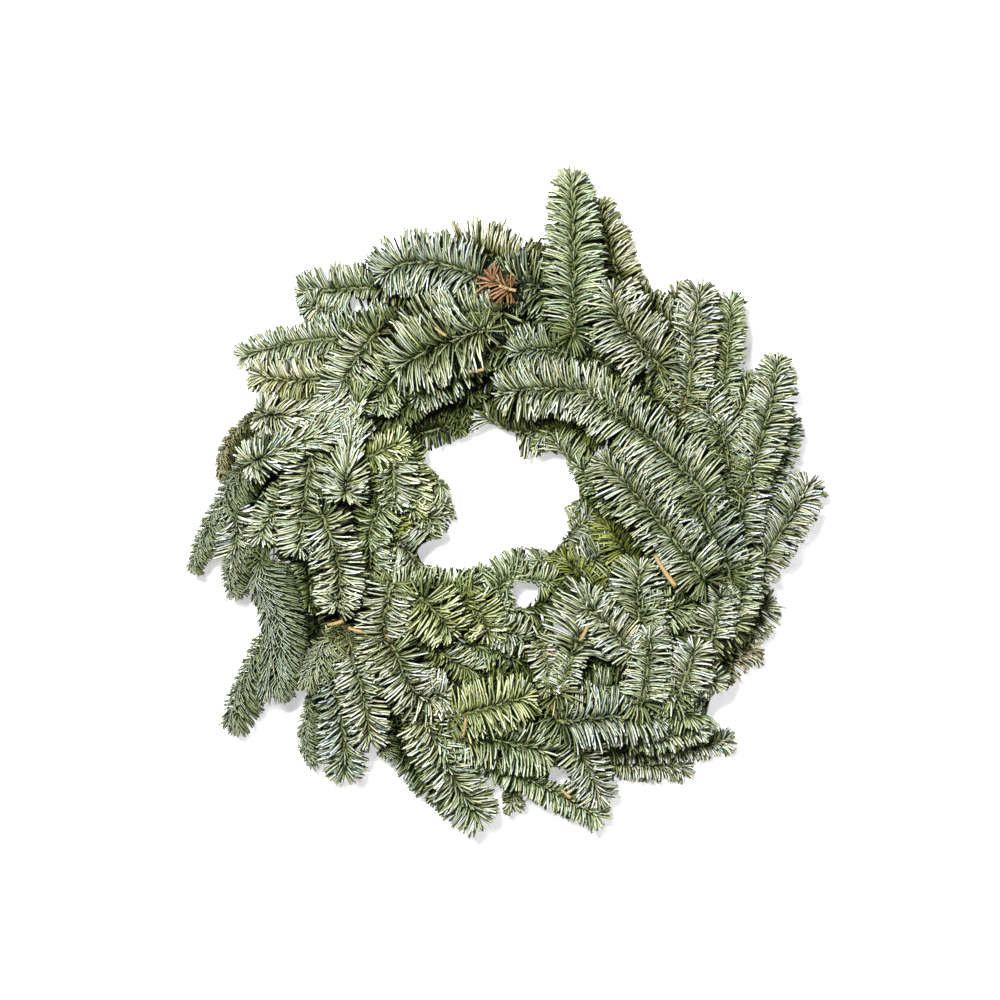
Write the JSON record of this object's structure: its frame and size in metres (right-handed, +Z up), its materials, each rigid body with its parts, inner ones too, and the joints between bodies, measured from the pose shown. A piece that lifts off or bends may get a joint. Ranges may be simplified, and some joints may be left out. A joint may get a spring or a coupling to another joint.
{
  "type": "fresh evergreen wreath",
  "caption": "Fresh noble fir wreath: leafy cuttings bound with wire round a steel ring, all sweeping one way round an open middle, lying on its back.",
  "frame": {"origin": "on the surface the wreath lies on, under the middle of its outline", "axes": "+Z up, out of the wreath's face; +Y towards the edge that is at the top when it hangs; +X to the right of someone who looks at the face"},
  "size_m": [0.4614, 0.4874, 0.1006],
  "materials": {
    "needles_pale": "waxy pale grey-green fir needles on green twigs",
    "needles_blue": "waxy blue-green fir needles on green twigs",
    "needles_green": "soft yellow-green fir needles on green twigs",
    "needles_gray": "matt grey-green fir needles on brown twigs",
    "needles_dark": "dark olive fir needles on brown twigs",
    "ring_steel": "dull bare steel wire",
    "binding_wire": "green lacquered binding wire"
  },
  "bodies": {
    "root": {"wire_ring": "ring_steel", "binding_wire": "binding_wire", "cutting_01": "needles_pale", "cutting_02": "needles_pale", "cutting_03": "needles_blue", "cutting_04": "needles_green", "cutting_05": "needles_pale", "cutting_06": "needles_pale", "cutting_07": "needles_pale", "cutting_08": "needles_pale", "cutting_09": "needles_blue", "cutting_10": "needles_pale", "cutting_11": "needles_green", "cutting_12": "needles_pale", "cutting_13": "needles_green", "cutting_14": "needles_pale", "cutting_15": "needles_pale", "cutting_16": "needles_pale", "cutting_17": "needles_blue", "cutting_18": "needles_blue", "cutting_19": "needles_pale", "cutting_20": "needles_pale", "cutting_21": "needles_pale", "cutting_22": "needles_green", "cutting_23": "needles_pale", "cutting_24": "needles_green", "cutting_25": "needles_gray", "cutting_26": "needles_gray", "cutting_27": "needles_gray", "cutting_28": "needles_pale", "cutting_29": "needles_blue", "cutting_30": "needles_pale", "cutting_31": "needles_gray", "cutting_32": "needles_blue", "cutting_33": "needles_pale", "cutting_34": "needles_blue", "cutting_35": "needles_pale", "cutting_36": "needles_green", "cutting_37": "needles_green", "cutting_38": "needles_green", "cutting_39": "needles_blue", "cutting_40": "needles_pale", "cutting_41": "needles_green", "cutting_42": "needles_green", "cutting_43": "needles_green", "cutting_44": "needles_blue", "cutting_45": "needles_blue", "cutting_46": "needles_green", "cutting_47": "needles_gray", "cutting_48": "needles_pale", "cutting_49": "needles_green", "cutting_50": "needles_dark", "back_cutting_1": "needles_dark", "back_cutting_2": "needles_dark", "back_cutting_3": "needles_dark", "back_cutting_4": "needles_dark", "back_cutting_5": "needles_dark", "back_cutting_6": "needles_dark", "back_cutting_7": "needles_dark"}
  },
  "joints": []
}
